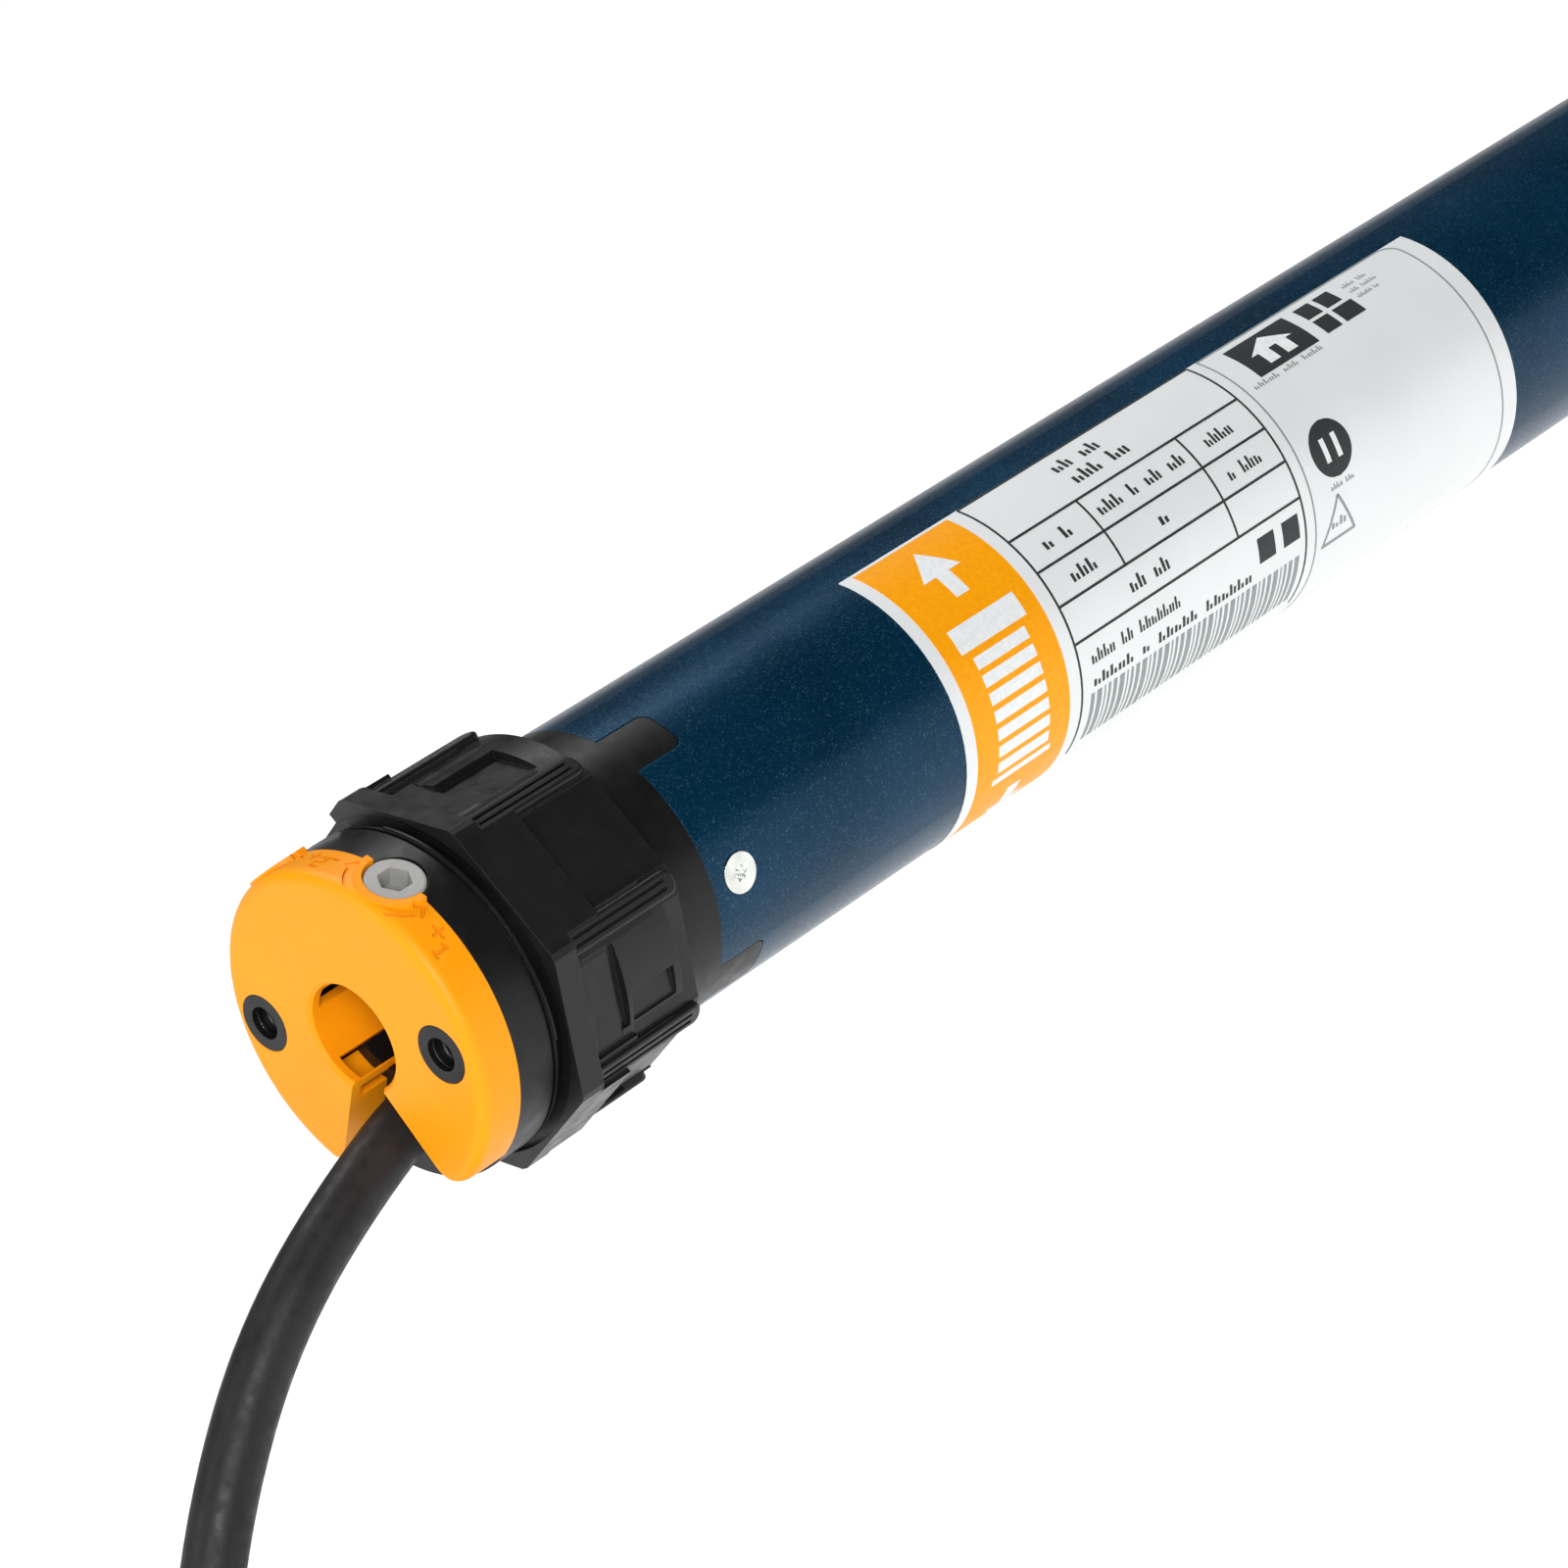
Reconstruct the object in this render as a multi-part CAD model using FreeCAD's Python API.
import FreeCAD, Part
import math
import os
from FreeCAD import Vector

# Tubular roller-shutter motor of the 40 mm class, as separate parts, in millimetres.
# The origin is the centre of the head's front face. +X runs along the motor from the
# head to the drive end, +Z is up and the cable slot points down. Angles are in degrees
# about the X axis, from +Y towards +Z.

# Head
HEAD_R = 20.8
COVER_END = 5.9
NECK_END = 12.0
NECK_LIP = (95, 190)
SOCKET_R = 6.7
SOCKET_WALL = 1.2
SOCKET_END = 12.0
WINDOW_SPANS = ((-66, -35), (22, 48))
WINDOW_X = (1.5, 11.0)
FRONT_WALL = 2.2
RIM_WALL = 1.6
EDGE_ROUND = 1.6
SLOT_HALF = 2.65
SLOT_SLOPE = 30.8
SLOT_ROUND = 3.5
SLOT_SOLID = (215, 325)
SCREW_SPACING = 31.0
BOSS_R = 3.6
INSERT_R = 2.9
INSERT_HOLE_R = 2.1
INSERT_X = (0.8, 14.0)
BULKHEAD_END = 20.0
CAVITY_R = 15.8

# Tube and what closes it
TUBE_R = 19.0
TUBE_BORE_R = 18.0
TUBE_X = (41.1, 418.0)
SPIGOT_R = 17.9
SPIGOT_END = 58.0
KEY_ANGLES = (118.7, 221.7, 298.7, 41.7)
KEY_HALF_WIDTH = 3.2
KEY_LENGTH = 7.7
TUBE_SCREW_X = 45.7
TUBE_SCREW_ANGLES = (179.3, 359.3)
CAP_FLANGE_END = 421.0
LABEL_X = (85.1, 200.6)
LABEL_SPAN = (105.0, 265.0)
LABEL_THICK = 0.1

# Crown
CROWN_X = (13.0, 34.0)
FLANGE_END = 16.4
FLANGE_R = 24.0
FLANGE_BORE_R = 21.6
CROWN_BORE_R = 19.08
CROWN_R = 21.9
CORNER_ANGLES = tuple(30 + 45 * k for k in range(8))
RIB_WIDTH = 3.1
RIB_R = 22.9
RIB_X = (FLANGE_END, 33.6)
POCKET_FLOOR_R = 20.7
PANEL_END = 21.5

# Limit switches
LIMIT_X = 5.6
LIMIT_ANGLES = {"up": 117.5, "down": 62.5}
LIMIT_HEAD_R = 3.6
LIMIT_HEX_AF = 3.6
LIMIT_RIM_R = 4.7
LIMIT_RIM_HIGH = 0.2
MARK_WIDTH = 0.34
MARK_DEPTH = 0.25
LIMIT_SIDE = {"up": -1, "down": 1}
WORM_RHO = 11.0
SHAFT_OFFSET = 5.0
SHAFT_R = 1.2
THREAD_R = 1.5
DIGITS = {
    "up": ((-1.0, 0.0, 1.0, 0.0), (1.0, 0.0, 0.5, -0.6), (-1.0, -0.6, -1.0, 0.6)),
    "down": (
        (1.0, -0.6, 1.0, 0.6),
        (1.0, 0.6, 0.0, 0.6),
        (0.0, 0.6, 0.0, -0.6),
        (0.0, -0.6, -1.0, -0.6),
        (-1.0, -0.6, -1.0, 0.6),
    ),
}
COUNTER_RING_TEETH = 78
COUNTER_PINION_TEETH = 26
COUNTER_MODULE = 0.5
COUNTER_X = (24.0, 30.0)
COUNTER_ANGLE = -17.6
COUNTER_WORM_R = 2.4
SPINDLE_START = 17.0
WHEEL_X = 44.0
WHEEL_R = 9.0
WHEEL_TEETH = 30
CAM_R = 4.2
CAM_NOSE_R = 5.0
CAM_THICK = 2.5
CAM_LOW = {"down": 2.8, "up": 5.6}
CHASSIS_X = (32.0, 56.0)

# Motor and brake
CAPACITOR_X = (98.0, 158.0)
CAPACITOR_R = 14.0
FRONT_SHIELD_X = (164.0, 172.0)
STATOR_X = (186.0, 262.0)
WINDING_OVERHANG = 11.0
STATOR_BORE_R = 10.2
ROTOR_R = 9.9
REAR_SHIELD_X = (278.0, 287.0)
MOTOR_SHAFT_R = 4.0
BEARING_R = (4.0, 5.6, 8.2, 10.0)
BEARING_WIDTH = 5.0
BEARING_X = (165.5, 280.0)
BRAKE_X = (289.0, 314.0)
BRAKE_TRAVEL = 0.5

# Planetary gearbox: three equal stages, ring gear fixed
MODULE = 0.65
SUN_TEETH = 9
PLANET_TEETH = 18
RING_TEETH = 45
PLANET_ANGLES = (90, 210, 330)
STAGES = ((322.0, 330.0), (337.0, 347.0), (355.0, 369.0))
CARRIER_THICK = 3.5
PIN_R = 1.5
PIN_CLEARANCE = 0.05
GEARBOX_X = (316.0, 402.0)
GEARBOX_R = 17.95
OUTPUT_R = 7.5
BUSH_X = (379.0, 398.0)
BUSH_R = 10.0

# Drive end
DRIVE_SHAFT_R = 6.0
DRIVE_FLAT = 4.5
WHEEL_BODY_X = (423.0, 439.0)
SHAFT_END = 444.0
CLIP_X = (440.0, 441.0)

# Cable: 3 m of rubber lead. The put-away length is a round coil that hangs from the lead.
CABLE_D = 7.4
CABLE_ROUTE = (
    (19.0, 0.0, -10.2),
    (7.0, 0.0, -11.3),
    (-7.0, 0.0, -16.6),
    (-19.5, 0.0, -23.3),
    (-30.0, 0.0, -32.4),
    (-41.0, -1.0, -45.6),
    (-51.0, -3.5, -61.0),
    (-59.3, -7.0, -77.3),
    (-66.0, -10.0, -94.5),
    (-70.1, -11.4, -106.7),
)
COIL_CENTRE = (-22.8, -123.9)
COIL_OUTER_R = 50.5
COIL_INNER_R = 29.5
COIL_PITCH = 7.6
COIL_COLUMNS = 4
TAIL_ROUTE = (
    (-73.3, 11.4, -123.9),
    (-74.4, 11.6, -140.0),
    (-73.2, 12.1, -156.0),
    (-70.0, 12.9, -171.5),
)
CORE_D = 1.9
CORE_SPREAD = 1.42
CORE_LENGTH = 22.0

EXTRA = 1.0  # how far a cutter reaches past what it cuts
X_AXIS = Vector(1, 0, 0)
ORIGIN = Vector(0, 0, 0)


def cylinder(radius, x0, x1, y=0.0, z=0.0):
    return Part.makeCylinder(radius, x1 - x0, Vector(x0, y, z), X_AXIS)


def ring(outer, inner, x0, x1, y=0.0, z=0.0):
    return cylinder(outer, x0, x1, y, z).cut(cylinder(inner, x0 - EXTRA, x1 + EXTRA, y, z))


def box(x0, x1, y0, y1, z0, z1):
    return Part.makeBox(x1 - x0, y1 - y0, z1 - z0, Vector(x0, y0, z0))


def polar(radius, degrees):
    a = math.radians(degrees)
    return radius * math.cos(a), radius * math.sin(a)


def turned_to(shape, degrees):
    """A copy of a shape made at +Y, turned about the X axis."""
    copy = shape.copy()
    copy.rotate(ORIGIN, X_AXIS, degrees)
    return copy


def radial_cylinder(radius, near, far, x):
    """A cylinder that stands out along +Y, to be turned to its place."""
    return Part.makeCylinder(radius, far - near, Vector(x, near, 0), Vector(0, 1, 0))


def prism(points, x0, x1):
    """A prism along X over an outline of (y, z) points."""
    outline = [Vector(x0, y, z) for y, z in points]
    return Part.Face(Part.makePolygon(outline + outline[:1])).extrude(Vector(x1 - x0, 0, 0))


def lathe(profile):
    """A solid of revolution about X over an outline of (x, radius) points."""
    outline = [Vector(x, r, 0) for x, r in profile]
    return Part.Face(Part.makePolygon(outline + outline[:1])).revolve(ORIGIN, X_AXIS, 360)


def sector(outer, inner, x0, x1, start, end):
    """Part of a ring between two angles."""
    profile = [(x0, inner), (x1, inner), (x1, outer), (x0, outer)]
    outline = [Vector(x, r, 0) for x, r in profile]
    face = Part.Face(Part.makePolygon(outline + outline[:1]))
    return turned_to(face.revolve(ORIGIN, X_AXIS, end - start), start)


def joined(shapes):
    shapes = list(shapes)
    return shapes[0].multiFuse(shapes[1:]).removeSplitter()


def regular(sides, radius, start=0.0):
    return [polar(radius, start + 360 * k / sides) for k in range(sides)]


def save(name, *solids):
    shape = solids[0] if len(solids) == 1 else Part.makeCompound(list(solids))
    shape.exportStep(f"parts/{name}.step")


def gear_outline(teeth, module, addendum, dedendum, share, phase):
    """(y, z) points of a toothed wheel with involute flanks; share is the tooth's part of the pitch."""
    pitch_r = teeth * module / 2
    base_r = pitch_r * math.cos(math.radians(20))
    involute = math.tan(math.radians(20)) - math.radians(20)
    half_at_pitch = math.pi * share / teeth

    def half_width(radius):
        angle = math.acos(min(1.0, base_r / max(radius, base_r)))
        return half_at_pitch + involute - (math.tan(angle) - angle)

    radii = (pitch_r - dedendum * module, pitch_r, pitch_r + addendum * module)
    points = []
    for k in range(teeth):
        middle = math.radians(phase) + 2 * math.pi * k / teeth
        flank = [(r, half_width(r)) for r in radii]
        for r, w in flank:
            points.append((r * math.cos(middle - w), r * math.sin(middle - w)))
        for r, w in reversed(flank):
            points.append((r * math.cos(middle + w), r * math.sin(middle + w)))
    return points


def external_gear(teeth, x0, x1, phase, module=MODULE):
    return prism(gear_outline(teeth, module, 0.85, 1.1, 0.44, phase), x0, x1)


def internal_teeth(teeth, x0, x1, phase, module=MODULE):
    """The cutter that leaves an internal gear, with a space at the phase angle."""
    return prism(gear_outline(teeth, module, 1.1, 0.75, 0.56, phase), x0, x1)


def moved(shape, y, z):
    copy = shape.copy()
    copy.translate(Vector(0, y, z))
    return copy


def tube_path(points):
    """Straight runs joined by tangent arcs, each as large as its two runs allow, and the radii."""
    points = [Vector(*p) for p in points]
    edges = []
    radii = []
    start = points[0]
    for before, corner, after in zip(points, points[1:], points[2:]):
        a, b = before - corner, after - corner
        short = min(a.Length, b.Length)
        turn = math.pi - a.getAngle(b)
        radius = 0.45 * short / math.tan(turn / 2)
        into = corner + a * (0.45 * short / a.Length)
        out_of = corner + b * (0.45 * short / b.Length)
        inward = (a * (1 / a.Length) + b * (1 / b.Length)).normalize()
        middle = corner + inward * (radius / math.cos(turn / 2) - radius)
        edges.append(Part.LineSegment(start, into).toShape())
        edges.append(Part.Arc(into, middle, out_of).toShape())
        radii.append(radius)
        start = out_of
    edges.append(Part.LineSegment(start, points[-1]).toShape())
    return Part.Wire(edges), radii


def tube(points, diameter):
    wire, radii = tube_path(points)
    first = Vector(*points[1]) - Vector(*points[0])
    section = Part.Wire(Part.makeCircle(diameter / 2, Vector(*points[0]), first))
    return wire.makePipeShell([section], True, True), wire.Length, radii


def slot_wall():
    """Where the slot's right wall starts, its direction, and the middle of its rounded mouth."""
    slope = math.radians(SLOT_SLOPE)
    start = Vector(0, SLOT_HALF, -math.sqrt(SOCKET_R**2 - SLOT_HALF**2) - 0.2)
    along = Vector(0, math.sin(slope), -math.cos(slope))
    first = start + Vector(0, math.cos(slope), math.sin(slope)) * SLOT_ROUND
    b = first.dot(along)
    c = first.dot(first) - (HEAD_R - SLOT_ROUND) ** 2
    reach = -b + math.sqrt(b * b - c)
    return start, along, reach, first + along * reach


def cable_slot():
    """The V-shaped way out for the cable below the socket, with its rounded mouth."""
    start, along, reach, middle = slot_wall()
    turn = start + along * reach
    rim = middle * (HEAD_R / middle.Length)
    lowest = middle + Vector(0, -math.sin(math.radians(25)), -math.cos(math.radians(25))) * SLOT_ROUND

    def mirror(point):
        return Vector(point.x, -point.y, point.z)

    top = Vector(0, SLOT_HALF, -SOCKET_R + 2.5)
    bottom = Vector(0, rim.y + 2, -HEAD_R - EXTRA)
    outside = Vector(0, rim.y * 1.1, rim.z * 1.1)
    right = [Part.LineSegment(top, start), Part.LineSegment(start, turn), Part.Arc(turn, lowest, rim)]
    right += [Part.LineSegment(rim, outside), Part.LineSegment(outside, bottom)]
    left = [Part.LineSegment(mirror(top), mirror(start)), Part.LineSegment(mirror(start), mirror(turn))]
    left.append(Part.Arc(mirror(turn), mirror(lowest), mirror(rim)))
    left.append(Part.LineSegment(mirror(rim), mirror(outside)))
    left += [Part.LineSegment(mirror(outside), mirror(bottom))]
    across = [Part.LineSegment(top, mirror(top)), Part.LineSegment(bottom, mirror(bottom))]
    edges = Part.sortEdges([curve.toShape() for curve in right + left + across])[0]
    face = Part.Face(Part.Wire(edges))
    face.translate(Vector(-EXTRA, 0, 0))
    return face.extrude(Vector(COVER_END + 2 * EXTRA, 0, 0))


def cable_channel():
    """Room for the lead through the cover and the bulkhead."""
    channel, _, _ = tube(CABLE_ROUTE[:4], CABLE_D + 0.6)
    return channel


def plug_piece(radius, near, far):
    """A cylinder in line with the lead's first run, measured from the lead's end."""
    end = Vector(*CABLE_ROUTE[0])
    inward = (end - Vector(*CABLE_ROUTE[1])).normalize()
    return Part.makeCylinder(radius, far - near, end + inward * near, inward)


def limit_places():
    for name, angle in LIMIT_ANGLES.items():
        yield name, angle, LIMIT_SIDE[name]


def shaft_place(name):
    """The (y, z) of an adjusting shaft, beside its screw's worm."""
    angle = LIMIT_ANGLES[name]
    y, z = polar(WORM_RHO, angle)
    side_y, side_z = polar(SHAFT_OFFSET, angle - 90 * LIMIT_SIDE[name])
    return y + side_y, z + side_z


def limit_bore(angle):
    """The stepped radial hole of a limit screw."""
    head = radial_cylinder(LIMIT_HEAD_R + 0.1, 16.4, HEAD_R + EXTRA, LIMIT_X)
    shank = radial_cylinder(1.6, 13.0, 17.0, LIMIT_X)
    worm = radial_cylinder(2.15, 8.4, 13.6, LIMIT_X)
    return [turned_to(s, angle) for s in (head, shank, worm)]


def head_cover():
    body = cylinder(HEAD_R, 0, COVER_END)
    front = [e for e in body.Edges if e.Length > 6 * HEAD_R and e.BoundBox.XMax < EXTRA]
    body = body.makeFillet(EDGE_ROUND, front[:1])
    hub = cylinder(SOCKET_R + SOCKET_WALL, COVER_END - EXTRA, SOCKET_END)
    hollow = ring(HEAD_R - RIM_WALL, SOCKET_R + SOCKET_WALL, FRONT_WALL, COVER_END + EXTRA)
    hollow = hollow.cut(sector(HEAD_R, 1.0, FRONT_WALL - 1, COVER_END + 2, *SLOT_SOLID))
    rims = []
    for _, angle, _ in limit_places():
        rim = radial_cylinder(LIMIT_RIM_R, HEAD_R - 1.2, HEAD_R + LIMIT_RIM_HIGH, LIMIT_X)
        rim = rim.common(cylinder(HEAD_R + EXTRA, 0.6, COVER_END))
        rims.append(turned_to(rim, angle))
    body = joined([body.cut(hollow), hub] + rims)
    cutters = [cable_slot(), cylinder(SOCKET_R, -EXTRA, SOCKET_END + EXTRA), cable_channel()]
    cutters.append(lathe([(-0.01, 0.0), (-0.01, SOCKET_R + 0.45), (0.45, SOCKET_R), (0.45, 0.0)]))
    for start, end in WINDOW_SPANS:
        cutters.append(sector(SOCKET_R + 3.0, SOCKET_R - 1.0, *WINDOW_X, start, end))
        cutters.append(sector(SOCKET_R + 3.0, SOCKET_R - 1.0, *WINDOW_X, 180 - end, 180 - start))
    for side in (-1, 1):
        y = side * SCREW_SPACING / 2
        cutters.append(cylinder(BOSS_R + 0.07, -EXTRA, COVER_END + EXTRA, y, 0))
    for name, angle, _ in limit_places():
        cutters.extend(limit_bore(angle))
        boss = radial_cylinder(4.3, SOCKET_R + SOCKET_WALL + 0.1, HEAD_R - RIM_WALL, LIMIT_X)
        cutters.append(turned_to(boss, angle).common(cylinder(HEAD_R, FRONT_WALL, SOCKET_END)))
        cutters.extend(turned_to(mark, angle) for mark in limit_marks(DIGITS[name]))
    return body.cut(cutters).removeSplitter()


def stroke(x0, s0, x1, s1):
    """A straight engraved line on the rim beside a limit screw, from (x, along the rim) to the next."""
    length = math.hypot(x1 - x0, s1 - s0)
    nx, ns = -(s1 - s0) / length * MARK_WIDTH / 2, (x1 - x0) / length * MARK_WIDTH / 2
    corners = [(x0 + nx, s0 + ns), (x1 + nx, s1 + ns), (x1 - nx, s1 - ns), (x0 - nx, s0 - ns)]
    return corners


def engraved(corners, depth):
    """The cutter for one engraved line, turned to its place along the rim."""
    middle = sum(s for _, s in corners) / len(corners)
    outline = [Vector(x, HEAD_R - depth, s - middle) for x, s in corners]
    cutter = Part.Face(Part.makePolygon(outline + outline[:1])).extrude(Vector(0, 3, 0))
    return turned_to(cutter, math.degrees(middle / HEAD_R))


def limit_marks(digit):
    """Turning arc with arrow tips, plus, minus and a number around a limit screw."""
    arc = radial_cylinder(LIMIT_RIM_R + 1.1, HEAD_R - 1.2, HEAD_R + EXTRA, LIMIT_X)
    arc = arc.cut(radial_cylinder(LIMIT_RIM_R + 0.8, HEAD_R - 2, HEAD_R + 2, LIMIT_X))
    arc = arc.common(box(0.9, COVER_END - 2.4, 0, HEAD_R + 2, -7, 7))
    arc = arc.cut(cylinder(HEAD_R - MARK_DEPTH, -EXTRA, COVER_END + EXTRA))
    lines = [stroke(x0 + 3.1, s0 + 10.4, x1 + 3.1, s1 + 10.4) for x0, s0, x1, s1 in digit]
    lines += [stroke(4.3, 7.5, 4.3, 9.4), stroke(3.4, 8.45, 5.2, 8.45), stroke(4.2, -9.2, 4.2, -7.4)]
    for side in (-1, 1):
        tip = 5.2 * side
        lines += [stroke(5.0, tip, 3.9, tip + 0.9 * side), stroke(5.0, tip, 4.1, tip - 1.0 * side)]
    return [arc] + [engraved(corners, MARK_DEPTH) for corners in lines]


def cable_plug():
    """Moulded inlet that the lead enters; its shoulder and pins stand in the cavity."""
    pins = []
    for dy, dz in regular(4, 2.2, 45):
        pin = plug_piece(0.6, 9.5, 12.4)
        pins.append(moved(pin, dy, dz))
    return joined([plug_piece(4.9, 0, 8.0), plug_piece(4.2, 7.5, 10.0)] + pins)


def head_body():
    neck = cylinder(HEAD_R, COVER_END, NECK_END)
    groove = ring(HEAD_R + EXTRA, HEAD_R - 0.5, NECK_END - 0.9, NECK_END - 0.4)
    sleeve = cylinder(TUBE_R, NECK_END, TUBE_X[0])
    spigot = cylinder(SPIGOT_R, TUBE_X[0], SPIGOT_END)
    keys = []
    for angle in KEY_ANGLES:
        keys.append(turned_to(tube_key(0.0), angle).common(cylinder(TUBE_R, 0, SPIGOT_END)))
    lip = sector(HEAD_R + 0.3, HEAD_R - 1, NECK_END - 0.35, NECK_END, *NECK_LIP)
    bosses = [lip]
    for side in (-1, 1):
        bosses.append(cylinder(BOSS_R, 0, COVER_END + EXTRA, side * SCREW_SPACING / 2, 0))
    for _, angle, _ in limit_places():
        boss = radial_cylinder(4.2, SOCKET_R + SOCKET_WALL + 0.3, HEAD_R - RIM_WALL - 0.2, LIMIT_X)
        bosses.append(turned_to(boss, angle).common(cylinder(HEAD_R, FRONT_WALL + 0.2, NECK_END)))
    body = joined([neck, sleeve, spigot] + keys + bosses)
    cutters = [
        groove,
        cylinder(CAVITY_R, BULKHEAD_END, SPIGOT_END + EXTRA),
        cylinder(SOCKET_R + SOCKET_WALL + 0.05, COVER_END - EXTRA, SOCKET_END + 0.1),
        ring(TUBE_R + EXTRA, 16.6, 51.0, 53.0).common(cylinder(TUBE_BORE_R, 50.0, 54.0)),
        cable_channel(),
    ]
    cutters.append(plug_piece(4.95, 0, 8.0))
    for side in (-1, 1):
        y = side * SCREW_SPACING / 2
        cutters.append(cylinder(INSERT_R, *INSERT_X, y, 0))
        cutters.append(cylinder(INSERT_HOLE_R, -EXTRA, INSERT_X[0] + EXTRA, y, 0))
    for name, angle, _ in limit_places():
        cutters.extend(limit_bore(angle))
        y, z = shaft_place(name)
        cutters.append(cylinder(3.2, FRONT_WALL, 8.0, y, z))
        cutters.append(cylinder(SHAFT_R + 0.05, COVER_END, BULKHEAD_END + EXTRA, y, z))
    pinion_y, pinion_z = counter_place()
    cutters.append(cylinder(7.3, COUNTER_X[0] - 0.5, COUNTER_X[1] + 0.5, pinion_y, pinion_z))
    cutters.append(cylinder(1.26, SPINDLE_START - 0.5, BULKHEAD_END + EXTRA, pinion_y, pinion_z))
    for angle in TUBE_SCREW_ANGLES:
        cutters.append(turned_to(radial_cylinder(1.2, CAVITY_R - EXTRA, TUBE_R, TUBE_SCREW_X), angle))
        cutters.append(turned_to(screw_head(0.03), angle))
    return body.cut(cutters).removeSplitter()


def tube_key(clearance):
    """A rounded key on the sleeve; with a clearance it is the notch in the tube."""
    half = KEY_HALF_WIDTH + clearance
    end = TUBE_X[0] + KEY_LENGTH + clearance
    body = box(TUBE_X[0] - 2, end, SPIGOT_R - 2, TUBE_R + EXTRA, -half, half)
    corners = [e for e in body.Edges if abs(e.BoundBox.XMin - end) < 0.01 and e.BoundBox.YLength > 2]
    return body.makeFillet(1.4, corners)


def screw_head(clearance):
    """The countersunk head of a tube screw, flush with the tube."""
    top = TUBE_R + 0.05
    cone_base = Vector(TUBE_SCREW_X, top - 1.7, 0)
    cone = Part.makeCone(1.2 + clearance, 2.5 + clearance, 1.5, cone_base, Vector(0, 1, 0))
    rim = radial_cylinder(2.5 + clearance, top - 0.2, top + (EXTRA if clearance else 0), TUBE_SCREW_X)
    return cone.fuse(rim)


def tube_screws():
    solids = []
    for angle in TUBE_SCREW_ANGLES:
        screw = screw_head(0).fuse(radial_cylinder(1.2, CAVITY_R + 0.2, TUBE_R - 1.0, TUBE_SCREW_X))
        floor = TUBE_R - 0.9
        star = [Vector(TUBE_SCREW_X + r * math.cos(a), floor, r * math.sin(a)) for r, a in star_points()]
        socket = Part.Face(Part.makePolygon(star + star[:1])).extrude(Vector(0, 2, 0))
        solids.append(turned_to(screw.cut(socket), angle))
    return solids


def star_points():
    """Six-lobed socket outline as (radius, angle) pairs."""
    for k in range(12):
        yield (1.15 if k % 2 == 0 else 0.72), math.pi * k / 6


def motor_tube():
    body = ring(TUBE_R, TUBE_BORE_R, *TUBE_X)
    cutters = [turned_to(tube_key(0.12), angle) for angle in KEY_ANGLES]
    cutters += [turned_to(screw_head(0.03), angle) for angle in TUBE_SCREW_ANGLES]
    return body.cut(cutters)


def bracket_inserts():
    """Threaded bushes, each with turns of thread cut into its bore."""
    solids = []
    for side in (-1, 1):
        y = side * SCREW_SPACING / 2
        bush = ring(INSERT_R, INSERT_HOLE_R, *INSERT_X, y, 0)
        grooves = [ring(INSERT_HOLE_R + 0.25, 0.5, x, x + 0.35, y, 0) for x in range(2, 13)]
        solids.append(bush.cut(grooves))
    return solids


def crown_ring():
    flange = prism(regular(8, FLANGE_R, CORNER_ANGLES[0]), CROWN_X[0], FLANGE_END)
    edges = [e for e in flange.Edges if abs(e.BoundBox.XLength - (FLANGE_END - CROWN_X[0])) < 0.01]
    flange = flange.makeChamfer(0.5, edges)
    body = cylinder(CROWN_R, FLANGE_END - 0.5, CROWN_X[1])
    facets = range(8)
    panels = []
    for k in facets:
        if k % 2 == 0:
            panels.append(crown_panel(k))
    ribs = [turned_to(crown_rib(), angle) for angle in CORNER_ANGLES]
    shape = joined([flange, body] + panels + ribs)
    cutters = [
        cylinder(CROWN_BORE_R, CROWN_X[0] - EXTRA, CROWN_X[1] + EXTRA),
        cylinder(FLANGE_BORE_R, CROWN_X[0] - EXTRA, CROWN_X[0] + 1.2),
        internal_teeth(
            COUNTER_RING_TEETH, COUNTER_X[0] - 0.6, COUNTER_X[1] + 0.6, COUNTER_ANGLE, COUNTER_MODULE
        ),
        turned_to(box(CROWN_X[0] - EXTRA, FLANGE_END, 15, 30, -5.6, 5.6), facet_angle(0)),
    ]
    for k in facets:
        cutters.extend(facet_pockets(k))
    return shape.cut(cutters).removeSplitter()


def facet_angle(k):
    return CORNER_ANGLES[0] + 22.5 + 45 * k


def crown_panel(k):
    """The flush panel between the flange and an open pocket."""
    flat = FLANGE_R * math.cos(math.radians(22.5))
    panel = box(FLANGE_END - 0.5, PANEL_END, CROWN_R - 2.5, flat, -7.6, 7.6)
    return turned_to(panel, facet_angle(k))


def crown_rib():
    """A corner rib with two fine grooves and rounded ends."""
    half = RIB_WIDTH / 2
    body = box(RIB_X[0] - 0.5, RIB_X[1], CROWN_R - 2, RIB_R, -half, half)
    ends = [e for e in body.Edges if abs(e.BoundBox.XMin - RIB_X[1]) < 0.01 and e.BoundBox.YLength > 1]
    body = body.makeFillet(1.3, ends)
    tops = [e for e in body.Edges if e.BoundBox.XLength > 10 and e.BoundBox.YMin > RIB_R - 0.1]
    body = body.makeFillet(0.45, tops)
    strip = box(RIB_X[0] - 0.5, RIB_X[1] - 4.5, CROWN_R - 2, CROWN_R + 0.4, -half - 0.9, half + 0.9)
    body = body.fuse(strip)
    start, end = RIB_X[0] + 0.8, RIB_X[1] - 1.6
    grooves = [box(start, end, RIB_R - 0.5, RIB_R + EXTRA, z - 0.22, z + 0.22) for z in (-0.5, 0.5)]
    return body.cut(grooves)


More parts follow.
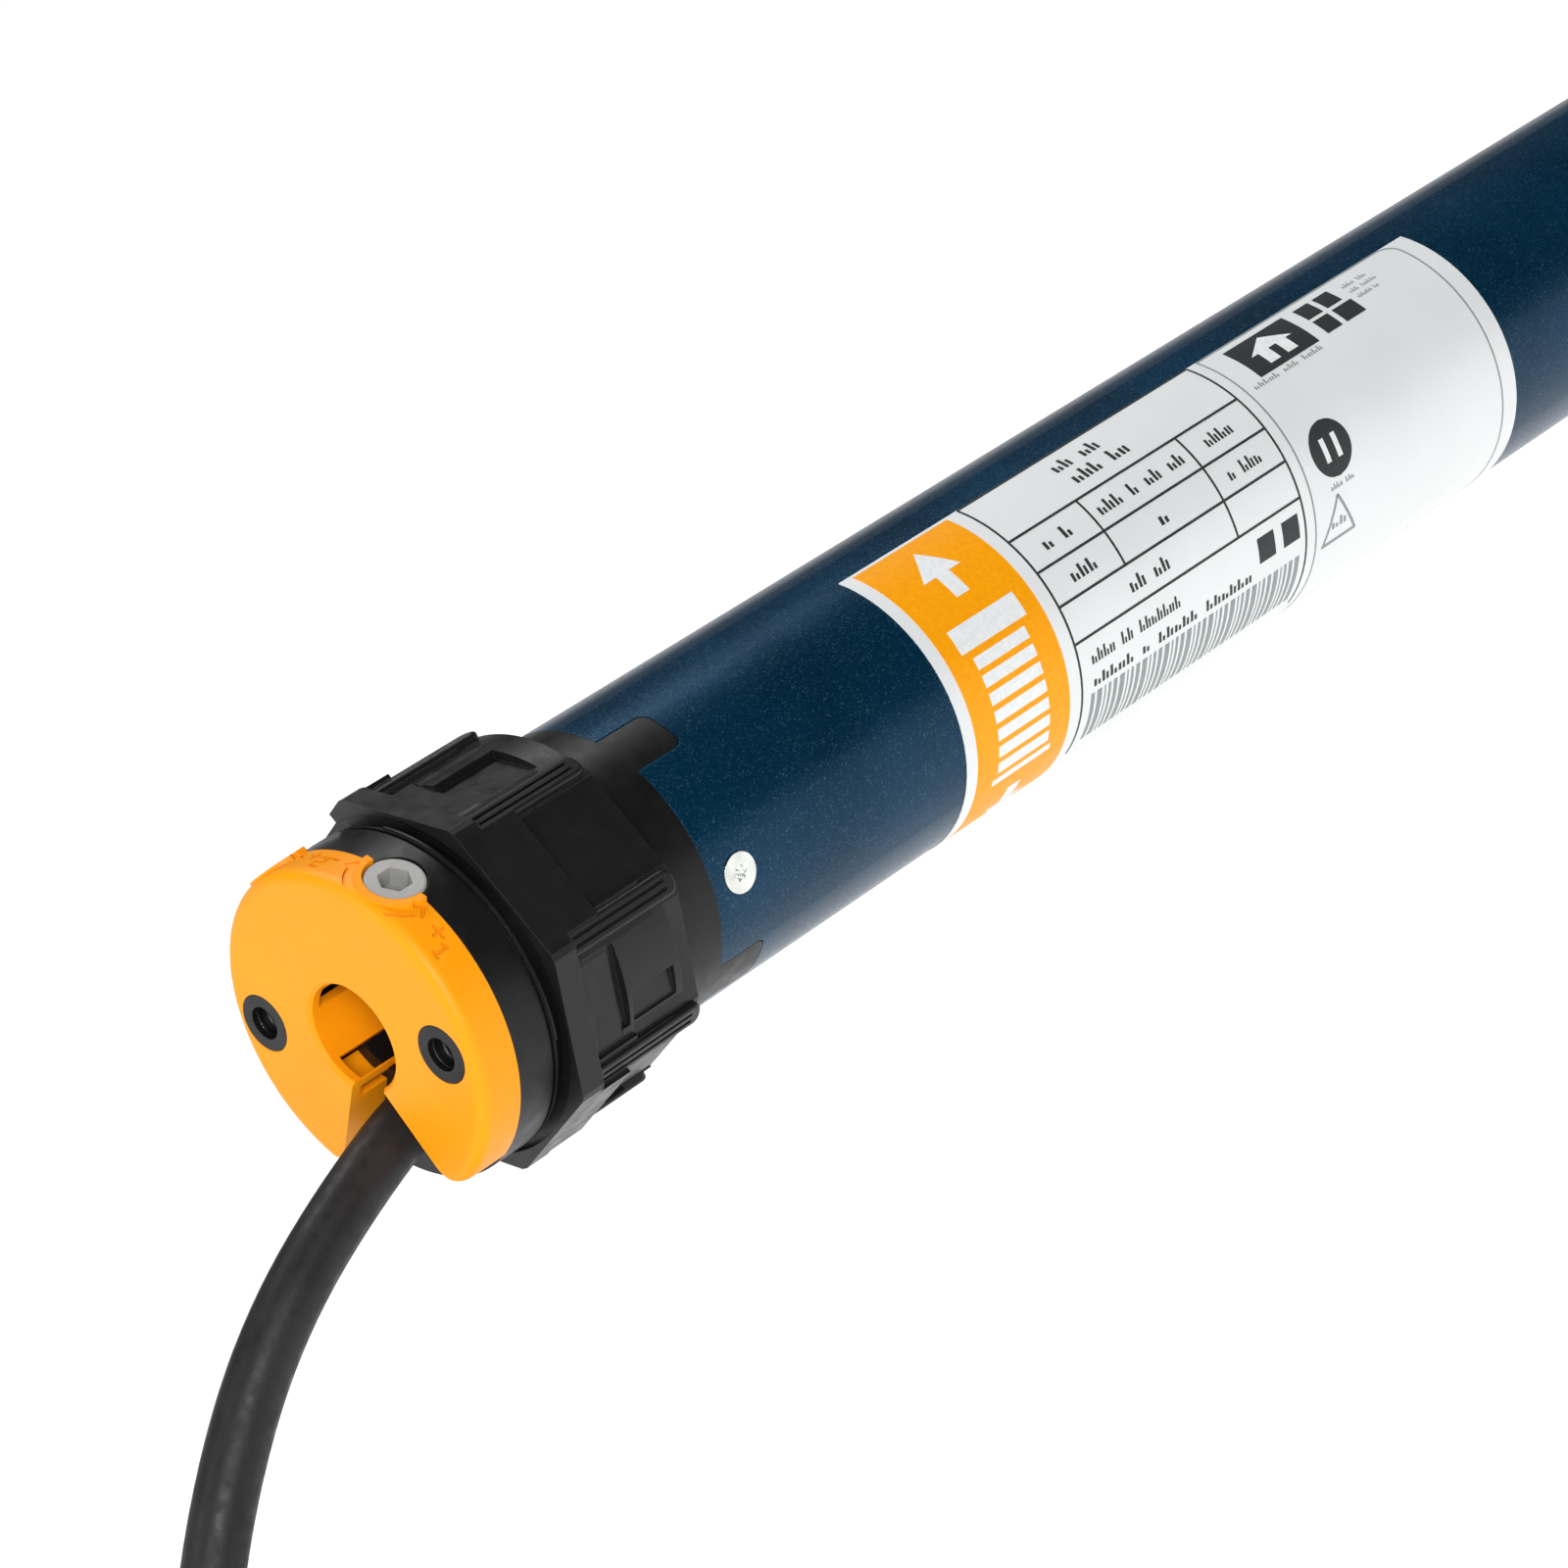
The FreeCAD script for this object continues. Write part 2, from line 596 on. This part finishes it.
def facet_pockets(k):
    """What is cut into the crown between two ribs: an open pocket, a clip window or a slotted panel."""
    floor, top = POCKET_FLOOR_R, FLANGE_R + EXTRA
    if k % 2 == 0:
        pockets = [box(PANEL_END, CROWN_X[1] + EXTRA, floor, top, -6.6, 6.6)]
    elif k % 4 == 1:
        pockets = [
            box(20.6, 30.2, floor, top, -1.6, 5.6),
            box(FLANGE_END, 20.6, 21.2, top, -6.0, 6.4),
            box(20.6, 30.8, 21.4, top, -6.0, -3.4),
        ]
    else:
        pockets = [
            box(FLANGE_END + 0.8, 21.4, 21.2, top, -6.4, 5.4),
            box(21.4, 22.6, floor, top, -6.2, 4.6),
            box(23.2, 30.2, 21.1, top, 0.6, 4.4),
            box(23.2, CROWN_X[1] + EXTRA, floor, top, 4.8, 7.0),
            box(31.2, CROWN_X[1] + EXTRA, floor, top, -6.4, 4.8),
        ]
    return [turned_to(p, facet_angle(k)) for p in pockets]


def limit_screw(name):
    """A radial adjusting screw: hexagon socket, shank, and a worm with ring grooves for its thread."""
    head = radial_cylinder(LIMIT_HEAD_R, 16.5, HEAD_R - 0.15, LIMIT_X)
    rim = [e for e in head.Edges if e.BoundBox.YMin > HEAD_R - 0.2]
    head = head.makeFillet(0.35, rim)
    shank = radial_cylinder(1.5, 13.0, 16.6, LIMIT_X)
    worm = radial_cylinder(2.0, 8.6, 13.4, LIMIT_X)
    corner = LIMIT_HEX_AF / math.sqrt(3)
    hexagon = [Vector(LIMIT_X + y, HEAD_R - 2.6, z) for y, z in regular(6, corner)]
    socket = Part.Face(Part.makePolygon(hexagon + hexagon[:1])).extrude(Vector(0, 4, 0))
    grooves = []
    for k in range(4):
        y = 9.3 + 1.05 * k
        outer = radial_cylinder(2.5, y, y + 0.5, LIMIT_X)
        grooves.append(outer.cut(radial_cylinder(1.6, y - 0.1, y + 0.6, LIMIT_X)))
    screw = joined([head, shank, worm]).cut([socket] + grooves)
    return turned_to(screw, LIMIT_ANGLES[name])


def adjusting_shaft(name):
    """A shaft with a small wheel at the screw's worm and a thread inside the chassis."""
    y, z = shaft_place(name)
    wheel = prism(gear_outline(12, 0.47, 0.25, 0.9, 0.45, 0.0), 3.6, 7.6)
    thread = cylinder(THREAD_R, 35.0, 53.0)
    grooves = [ring(THREAD_R + EXTRA, THREAD_R - 0.2, x, x + 0.5) for x in range(36, 52)]
    shaft = cylinder(SHAFT_R, 3.0, CHASSIS_X[1] + 0.8)
    return moved(joined([wheel, shaft, thread]).cut(grooves), y, z)


def switch_block(name):
    """The nut that carries a microswitch along its adjusting shaft."""
    y, z = shaft_place(name)
    block = box(40.0, 48.0, y - 2.4, y + 2.4, z - 3.25, z + 2.7)
    return block.cut(cylinder(THREAD_R + 0.06, 38.0, 50.0, y, z))


def microswitch(name):
    """A subminiature switch below its block, with its plunger towards its cam and its legs outwards."""
    side = LIMIT_SIDE[name]
    y, z = shaft_place(name)
    top = z - 3.25
    inner, outer = y - 2.9 * side, y + 2.9 * side
    tip = wheel_place()[0] + (CAM_NOSE_R + 0.25) * side
    level = CAM_LOW[name] + CAM_THICK / 2 + wheel_place()[1]
    body = box(38.5, 49.5, min(outer, inner), max(outer, inner), top - 4.2, top)
    plunger = box(43.4, 44.6, min(tip, inner), max(tip, inner), level - 0.5, level + 0.5)
    foot = outer + 0.9 * side
    legs = [box(x, x + 0.6, min(outer, foot), max(outer, foot), 1.6, 2.2) for x in (39.5, 43.7, 47.9)]
    return joined([body, plunger] + legs)


def counter_place():
    radius = (COUNTER_RING_TEETH - COUNTER_PINION_TEETH) * COUNTER_MODULE / 2
    return polar(radius, COUNTER_ANGLE)


def wheel_place():
    """The (y, z) of the counter wheel's centre, beside the worm on the pinion's spindle."""
    y, z = counter_place()
    return y - COUNTER_WORM_R - WHEEL_R - 0.06, z


def counter_pinion():
    """Pinion in the crown's teeth, with a long spindle and the worm."""
    y, z = counter_place()
    pinion = external_gear(COUNTER_PINION_TEETH, *COUNTER_X, COUNTER_ANGLE, COUNTER_MODULE)
    spindle = cylinder(1.2, SPINDLE_START, CHASSIS_X[1] + 0.8)
    worm = cylinder(COUNTER_WORM_R, 36.0, 52.0)
    starts = [36.8 + 1.9 * k for k in range(8)]
    grooves = [ring(COUNTER_WORM_R + EXTRA, COUNTER_WORM_R - 0.5, start, start + 0.9) for start in starts]
    return moved(joined([pinion, spindle, worm]).cut(grooves), y, z)


def upright(shape, y, z):
    """A shape made along X from the origin, stood on end along Z at the counter wheel's axle."""
    copy = shape.copy()
    copy.rotate(ORIGIN, Vector(0, 1, 0), -90)
    copy.translate(Vector(WHEEL_X, y, z))
    return copy


def counter_wheel():
    y, z = wheel_place()
    teeth = prism(gear_outline(WHEEL_TEETH, 0.57, 0.78, 0.9, 0.46, 0.0), -2.5, 2.5)
    return upright(teeth.cut(cylinder(1.56, -4, 4)), y, z)


def cam(name):
    """A round cam with one raised nose, on the counter wheel's axle."""
    y, z = wheel_place()
    low, high = CAM_LOW[name], CAM_LOW[name] + CAM_THICK
    disc = cylinder(CAM_R, low, high)
    nose = sector(CAM_NOSE_R, 2.0, low, high, 60, 95).fuse(cylinder(2.5, low, high))
    return upright(disc.fuse(nose).removeSplitter().cut(cylinder(1.56, 0, 12)), y, z)


def limit_chassis():
    """Two end plates on a floor, with the counter wheel's axle."""
    plates = [cylinder(CAVITY_R - 0.1, x, x + 2.0) for x in (CHASSIS_X[0], CHASSIS_X[1] - 2.0)]
    floor = box(CHASSIS_X[0], CHASSIS_X[1], -8.0, 8.0, -12.0, -9.5)
    y, z = wheel_place()
    axle = Part.makeCylinder(1.5, 18.5, Vector(WHEEL_X, y, -10.0))
    shape = joined(plates + [floor, axle])
    holes = []
    for name, _, _ in limit_places():
        holes.append(cylinder(SHAFT_R + 0.06, 30, 60, *shaft_place(name)))
    holes.append(cylinder(1.26, 30, 60, *counter_place()))
    return shape.cut(holes)


def tube_seal():
    return Part.makeTorus(17.3, 0.64, Vector(52.0, 0, 0), X_AXIS)


def terminal_board():
    """Circuit board with its terminal block and two round parts."""
    board = box(62, 92, -14, 14, -9.0, -7.4)
    block = box(64, 74, -11, 11, -7.4, 1.0)
    entries = [box(63, 69, y - 1.3, y + 1.3, -5.5, -2.9) for y in (-8.1, -2.7, 2.7, 8.1)]
    discs = [Part.makeCylinder(3.5, 2.6, Vector(84, y, -7.4), Vector(0, 0, 1)) for y in (-6, 6)]
    return [board, block.cut(entries)] + discs


def run_capacitor():
    can = cylinder(CAPACITOR_R, *CAPACITOR_X)
    ends = [e for e in can.Edges if e.Length > 6 * CAPACITOR_R]
    can = can.makeFillet(1.2, ends)
    tabs = [box(CAPACITOR_X[0] - 5, CAPACITOR_X[0] + EXTRA, y - 0.4, y + 0.4, -2.4, 2.4) for y in (-5, 5)]
    return joined([can] + tabs)


def shield(x0, x1, bearing_x):
    """A bearing shield: a spoked disc with a seat for its bearing."""
    plate = ring(TUBE_BORE_R - 0.05, MOTOR_SHAFT_R + 0.6, x0, x1)
    seat = cylinder(BEARING_R[3], bearing_x, bearing_x + BEARING_WIDTH)
    windows = [sector(15.5, 12.0, x0 - EXTRA, x1 + EXTRA, a, a + 40) for a in range(25, 360, 90)]
    return plate.cut([seat] + windows)


def bearing_parts():
    """Inner rings, outer rings and balls of the two rotor bearings."""
    bore, shoulder, track, outside = BEARING_R
    middle = (shoulder + track) / 2
    ball_r = (track - shoulder) / 2 - 0.05
    inner, outer, balls = [], [], []
    for x in BEARING_X:
        centre = x + BEARING_WIDTH / 2
        groove = Part.makeTorus(middle, ball_r + 0.05, Vector(centre, 0, 0), X_AXIS)
        inner.append(ring(shoulder + 0.5, bore, x, x + BEARING_WIDTH).cut(groove))
        outer.append(ring(outside, track - 0.5, x, x + BEARING_WIDTH).cut(groove))
        for k in range(8):
            y, z = polar(middle, 45 * k)
            balls.append(Part.makeSphere(ball_r, Vector(centre, y, z)))
    return inner, outer, balls


def stator_slots(grow):
    """The twelve slots of the stator, or with a negative growth the conductors in them."""
    length = WINDING_OVERHANG if grow < 0 else EXTRA
    x0, x1 = STATOR_X[0] - length, STATOR_X[1] + length
    slot = box(x0, x1, 11.6 - grow, 15.6 + grow, -1.7 - grow, 1.7 + grow)
    return [turned_to(slot, 30 * k) for k in range(12)]


def stator_core():
    core = ring(TUBE_BORE_R - 0.02, STATOR_BORE_R, *STATOR_X)
    mouths = [turned_to(box(STATOR_X[0] - 1, STATOR_X[1] + 1, 9, 12, -0.6, 0.6), 30 * k) for k in range(12)]
    return core.cut(stator_slots(0) + mouths).removeSplitter()


def stator_windings():
    heads = []
    for x0 in (STATOR_X[0] - WINDING_OVERHANG, STATOR_X[1] + 0.5):
        x1 = x0 + WINDING_OVERHANG - 0.5
        head = ring(16.6, 11.2, x0, x1)
        rims = [e for e in head.Edges if e.Length > 50]
        heads.append(head.makeFillet(2.0, rims))
    bars = [b.common(cylinder(20, STATOR_X[0] - 2, STATOR_X[1] + 2)) for b in stator_slots(-0.25)]
    return joined(heads + bars)


def rotor_core():
    """Laminated rotor with its cast end rings."""
    core = ring(ROTOR_R, MOTOR_SHAFT_R, STATOR_X[0] + 1, STATOR_X[1] - 1)
    ends = [ring(ROTOR_R - 0.8, MOTOR_SHAFT_R, x, x + 5.0) for x in (STATOR_X[0] - 4, STATOR_X[1] - 1)]
    return joined([core] + ends)


def rotor_shaft():
    """Motor shaft with the first sun gear cut on its end."""
    thick = cylinder(MOTOR_SHAFT_R, FRONT_SHIELD_X[0] - 2, BRAKE_X[1] - 4)
    thin = cylinder(2.0, BRAKE_X[1] - 5, STAGES[0][0])
    return joined([thick, thin, sun(0)])


def sun(stage):
    x0, x1 = STAGES[stage]
    return external_gear(SUN_TEETH, x0 - 0.5, x1, 0.0)


def brake_parts():
    """Housing with the lining, disc on the shaft, sliding armature and its spring."""
    x0, x1 = BRAKE_X
    wall = ring(TUBE_BORE_R - 0.05, 16.0, x0, x1)
    lining = ring(16.2, 9.0, x0, x0 + 2.0)
    back = ring(16.2, 3.0, x1 - 3.0, x1)
    keys = [turned_to(box(x0 + 7.0, x1 - 2, 14.8, 16.2, -1.5, 1.5), a) for a in (0, 120, 240)]
    housing = joined([wall, lining, back] + keys)
    disc = ring(14.0, MOTOR_SHAFT_R, x0 + 2.4, x0 + 5.4)
    armature = ring(15.6, 4.6, x0 + 5.8, x0 + 9.8)
    slots = [turned_to(box(x0 + 5, x0 + 11, 14.5, 16, -1.65, 1.65), a) for a in (0, 120, 240)]
    armature = armature.cut(slots)
    spring = disc_springs(x0 + 9.8 + BRAKE_TRAVEL + 0.1, x1 - 3.0, 5.5, 10.0, 0.7, 6)
    return housing, disc, armature, spring


def disc_springs(x0, x1, inner, outer, thick, count):
    """A stack of conical spring washers, set rim to rim and bore to bore."""
    step = (x1 - x0) / count
    washers = []
    for k in range(count):
        near, far = x0 + k * step + 0.03, x0 + (k + 1) * step - thick - 0.03
        at_bore, at_rim = (near, far) if k % 2 == 0 else (far, near)
        profile = [(at_bore, inner), (at_bore + thick, inner), (at_rim + thick, outer), (at_rim, outer)]
        washers.append(lathe(profile))
    return washers


def planet_distance():
    return (SUN_TEETH + PLANET_TEETH) * MODULE / 2


def planet(stage, angle):
    """A planet in mesh with its sun and with the ring gear."""
    x0, x1 = STAGES[stage]
    phase = angle * (1 + SUN_TEETH / PLANET_TEETH) + 180 + 180 / PLANET_TEETH
    wheel = external_gear(PLANET_TEETH, x0, x1, phase)
    wheel = wheel.cut(cylinder(PIN_R + PIN_CLEARANCE, x0 - EXTRA, x1 + EXTRA))
    return moved(wheel, *polar(planet_distance(), angle))


def carrier(stage):
    """A disc with three planet pins; it bears the next sun, or the output shaft."""
    x0, x1 = STAGES[stage]
    disc_end = x1 + 0.5 + CARRIER_THICK
    disc = cylinder(12.6, x1 + 0.5, disc_end)
    pins = []
    for angle in PLANET_ANGLES:
        pins.append(cylinder(PIN_R, x0 + 0.5, x1 + 1.5, *polar(planet_distance(), angle)))
    if stage < len(STAGES) - 1:
        hub = cylinder(2.6, disc_end - 0.5, STAGES[stage + 1][0] - 1.0)
        gear = external_gear(SUN_TEETH, disc_end - 0.2, STAGES[stage + 1][1], 0.0)
        return joined([disc, hub, gear] + pins)
    shaft = cylinder(OUTPUT_R, disc_end - 0.5, BUSH_X[1] + 2)
    thin = cylinder(DRIVE_SHAFT_R, BUSH_X[1] + 1, SHAFT_END)
    body = joined([disc, shaft, thin] + pins)
    flats = [box(WHEEL_BODY_X[0], SHAFT_END + 1, -8, 8, z, z + 4) for z in (DRIVE_FLAT, -DRIVE_FLAT - 4)]
    groove = ring(DRIVE_SHAFT_R + 2, DRIVE_SHAFT_R - 0.7, CLIP_X[0] - 0.05, CLIP_X[1] + 0.05)
    return body.cut(flats + [groove])


def gearbox_housing():
    """Tube with the ring gear inside, closed by a wall at each end."""
    x0, x1 = GEARBOX_X
    body = cylinder(GEARBOX_R, x0, x1)
    teeth = internal_teeth(RING_TEETH, x0 + 3.0, BUSH_X[0] - 3.0, 0.0)
    inlet = cylinder(3.2, x0 - EXTRA, x0 + 4.0)
    bore = cylinder(BUSH_R, BUSH_X[0] - 4.0, x1 + EXTRA)
    return body.cut([teeth, inlet, bore])


def output_bush():
    return ring(BUSH_R, OUTPUT_R + 0.05, *BUSH_X)


def end_cap():
    spigot = cylinder(TUBE_BORE_R - 0.05, 404.0, TUBE_X[1])
    flange = cylinder(TUBE_R, TUBE_X[1], CAP_FLANGE_END)
    edges = [e for e in flange.Edges if e.BoundBox.XMin > CAP_FLANGE_END - 0.1 and e.Length > 50]
    flange = flange.makeFillet(0.8, edges)
    return spigot.fuse(flange).removeSplitter().cut(cylinder(DRIVE_SHAFT_R + 0.4, 400, 425))


def drive_wheel():
    """The wheel that carries the roller tube: hub, web, octagonal rim and corner ribs."""
    x0, x1 = WHEEL_BODY_X
    rim = prism(regular(8, RIB_R - 0.4, CORNER_ANGLES[0]), x0, x1).cut(cylinder(19.4, x0 - 1, x1 + 1))
    web = cylinder(20.5, x0 + 6, x0 + 9)
    hub = cylinder(9.5, x0, x1)
    spokes = [turned_to(box(x0 + 1, x1 - 1, 8.5, 20, -1.0, 1.0), a) for a in CORNER_ANGLES]
    ribs = []
    for angle in CORNER_ANGLES:
        rib = box(x0, x1 - 1.0, 21.5, RIB_R, -RIB_WIDTH / 2, RIB_WIDTH / 2)
        ribs.append(turned_to(rib, angle))
    body = joined([rim, web, hub] + spokes + ribs)
    bore = cylinder(DRIVE_SHAFT_R, x0 - 1, x1 + 1).common(box(x0 - 1, x1 + 1, -9, 9, -DRIVE_FLAT, DRIVE_FLAT))
    return body.cut(bore)


def drive_circlip():
    clip = ring(8.2, DRIVE_SHAFT_R - 0.6, *CLIP_X)
    return clip.cut(box(CLIP_X[0] - 1, CLIP_X[1] + 1, 0, 10, -2.2, 2.2))


def rating_label():
    return sector(TUBE_R + LABEL_THICK, TUBE_R, *LABEL_X, *LABEL_SPAN)


def coil_half_width():
    return (COIL_COLUMNS - 1) / 2 * COIL_PITCH + CABLE_D / 2


def cable_coil():
    """The outer shape of the wound turns: a thick ring with rounded rims, standing in the XZ plane."""
    half = coil_half_width()
    base = Vector(COIL_CENTRE[0], -half, COIL_CENTRE[1])
    outer = Part.makeCylinder(COIL_OUTER_R + CABLE_D / 2, 2 * half, base, Vector(0, 1, 0))
    inner = Part.makeCylinder(COIL_INNER_R - CABLE_D / 2, 2 * half, base, Vector(0, 1, 0))
    coil = outer.cut(inner)
    rims = [e for e in coil.Edges if len(e.Vertexes) == 1]
    return coil.makeFillet(CABLE_D / 2, rims)


def cable_cores():
    """Four stripped cores that stand out of the lead's cut end."""
    end = Vector(*TAIL_ROUTE[-1])
    along = (end - Vector(*TAIL_ROUTE[-2])).normalize()
    across = along.cross(Vector(0, 1, 0)).normalize()
    beside = along.cross(across)
    cores = []
    for a, b in regular(4, CORE_SPREAD, 45):
        base = end + across * a + beside * b
        cores.append(Part.makeCylinder(CORE_D / 2, CORE_LENGTH, base, along))
    return cores


def cable_tie():
    """A band round the coil's section at its top, with its lock."""
    half = coil_half_width()
    x = COIL_CENTRE[0]
    low = COIL_CENTRE[1] + COIL_INNER_R - CABLE_D / 2
    high = COIL_CENTRE[1] + COIL_OUTER_R + CABLE_D / 2
    gap, thick = 0.2, 1.2
    inner = box(x - 4, x + 4, -half - gap, half + gap, low - gap - 0.4, high + gap)
    side = half + gap + thick
    outer = box(x - 2.4, x + 2.4, -side, side, low - gap - 0.4 - thick, high + gap + thick)
    lock = box(x - 3.2, x + 3.2, 4.0, 9.0, high + gap, high + gap + 4.4)
    return joined([outer.cut(inner), lock])


def build():
    os.makedirs("parts", exist_ok=True)
    save("head_cover", head_cover())
    save("head_body", head_body())
    save("bracket_inserts", *bracket_inserts())
    save("tube_screws", *tube_screws())
    save("motor_tube", motor_tube())
    save("rating_label", rating_label())
    save("tube_seal", tube_seal())
    save("cable_plug", cable_plug())
    save("crown_ring", crown_ring())
    for name in LIMIT_ANGLES:
        save(f"limit_screw_{name}", limit_screw(name))
        save(f"adjusting_shaft_{name}", adjusting_shaft(name))
        save(f"switch_block_{name}", switch_block(name))
        save(f"microswitch_{name}", microswitch(name))
        save(f"cam_{name}", cam(name))
    save("counter_pinion", counter_pinion())
    save("counter_wheel", counter_wheel())
    save("limit_chassis", limit_chassis())
    save("terminal_board", *terminal_board())
    save("run_capacitor", run_capacitor())
    save("front_shield", shield(*FRONT_SHIELD_X, BEARING_X[0]))
    save("rear_shield", shield(*REAR_SHIELD_X, BEARING_X[1]))
    inner, outer, balls = bearing_parts()
    save("bearing_inner_rings", *inner)
    save("bearing_outer_rings", *outer)
    save("bearing_balls", *balls)
    save("stator_core", stator_core())
    save("stator_windings", stator_windings())
    save("rotor_core", rotor_core())
    save("rotor_shaft", rotor_shaft())
    housing, disc, armature, spring = brake_parts()
    save("brake_housing", housing)
    save("brake_disc", disc)
    save("brake_armature", armature)
    save("brake_spring", *spring)
    save("gearbox_housing", gearbox_housing())
    for stage in range(len(STAGES)):
        for letter, angle in zip("abc", PLANET_ANGLES):
            save(f"planet_{stage + 1}{letter}", planet(stage, angle))
        name = "output_carrier" if stage == len(STAGES) - 1 else f"carrier_{stage + 1}"
        save(name, carrier(stage))
    save("output_bush", output_bush())
    save("end_cap", end_cap())
    save("drive_wheel", drive_wheel())
    save("drive_circlip", drive_circlip())
    lead, length, radii = tube(CABLE_ROUTE, CABLE_D)
    save("cable_lead", lead)
    save("cable_coil", cable_coil())
    tail, tail_length, tail_radii = tube(TAIL_ROUTE, CABLE_D)
    save("cable_tail", tail)
    save("cable_cores", *cable_cores())
    save("cable_tie", cable_tie())
    for name, shape, run, bends in (("lead", lead, length, radii), ("tail", tail, tail_length, tail_radii)):
        share = shape.Volume / (run * math.pi * CABLE_D**2 / 4)
        print(name, "length", round(run, 1), "volume share", round(share, 4))
        print("radii", [round(r, 1) for r in bends])


build()
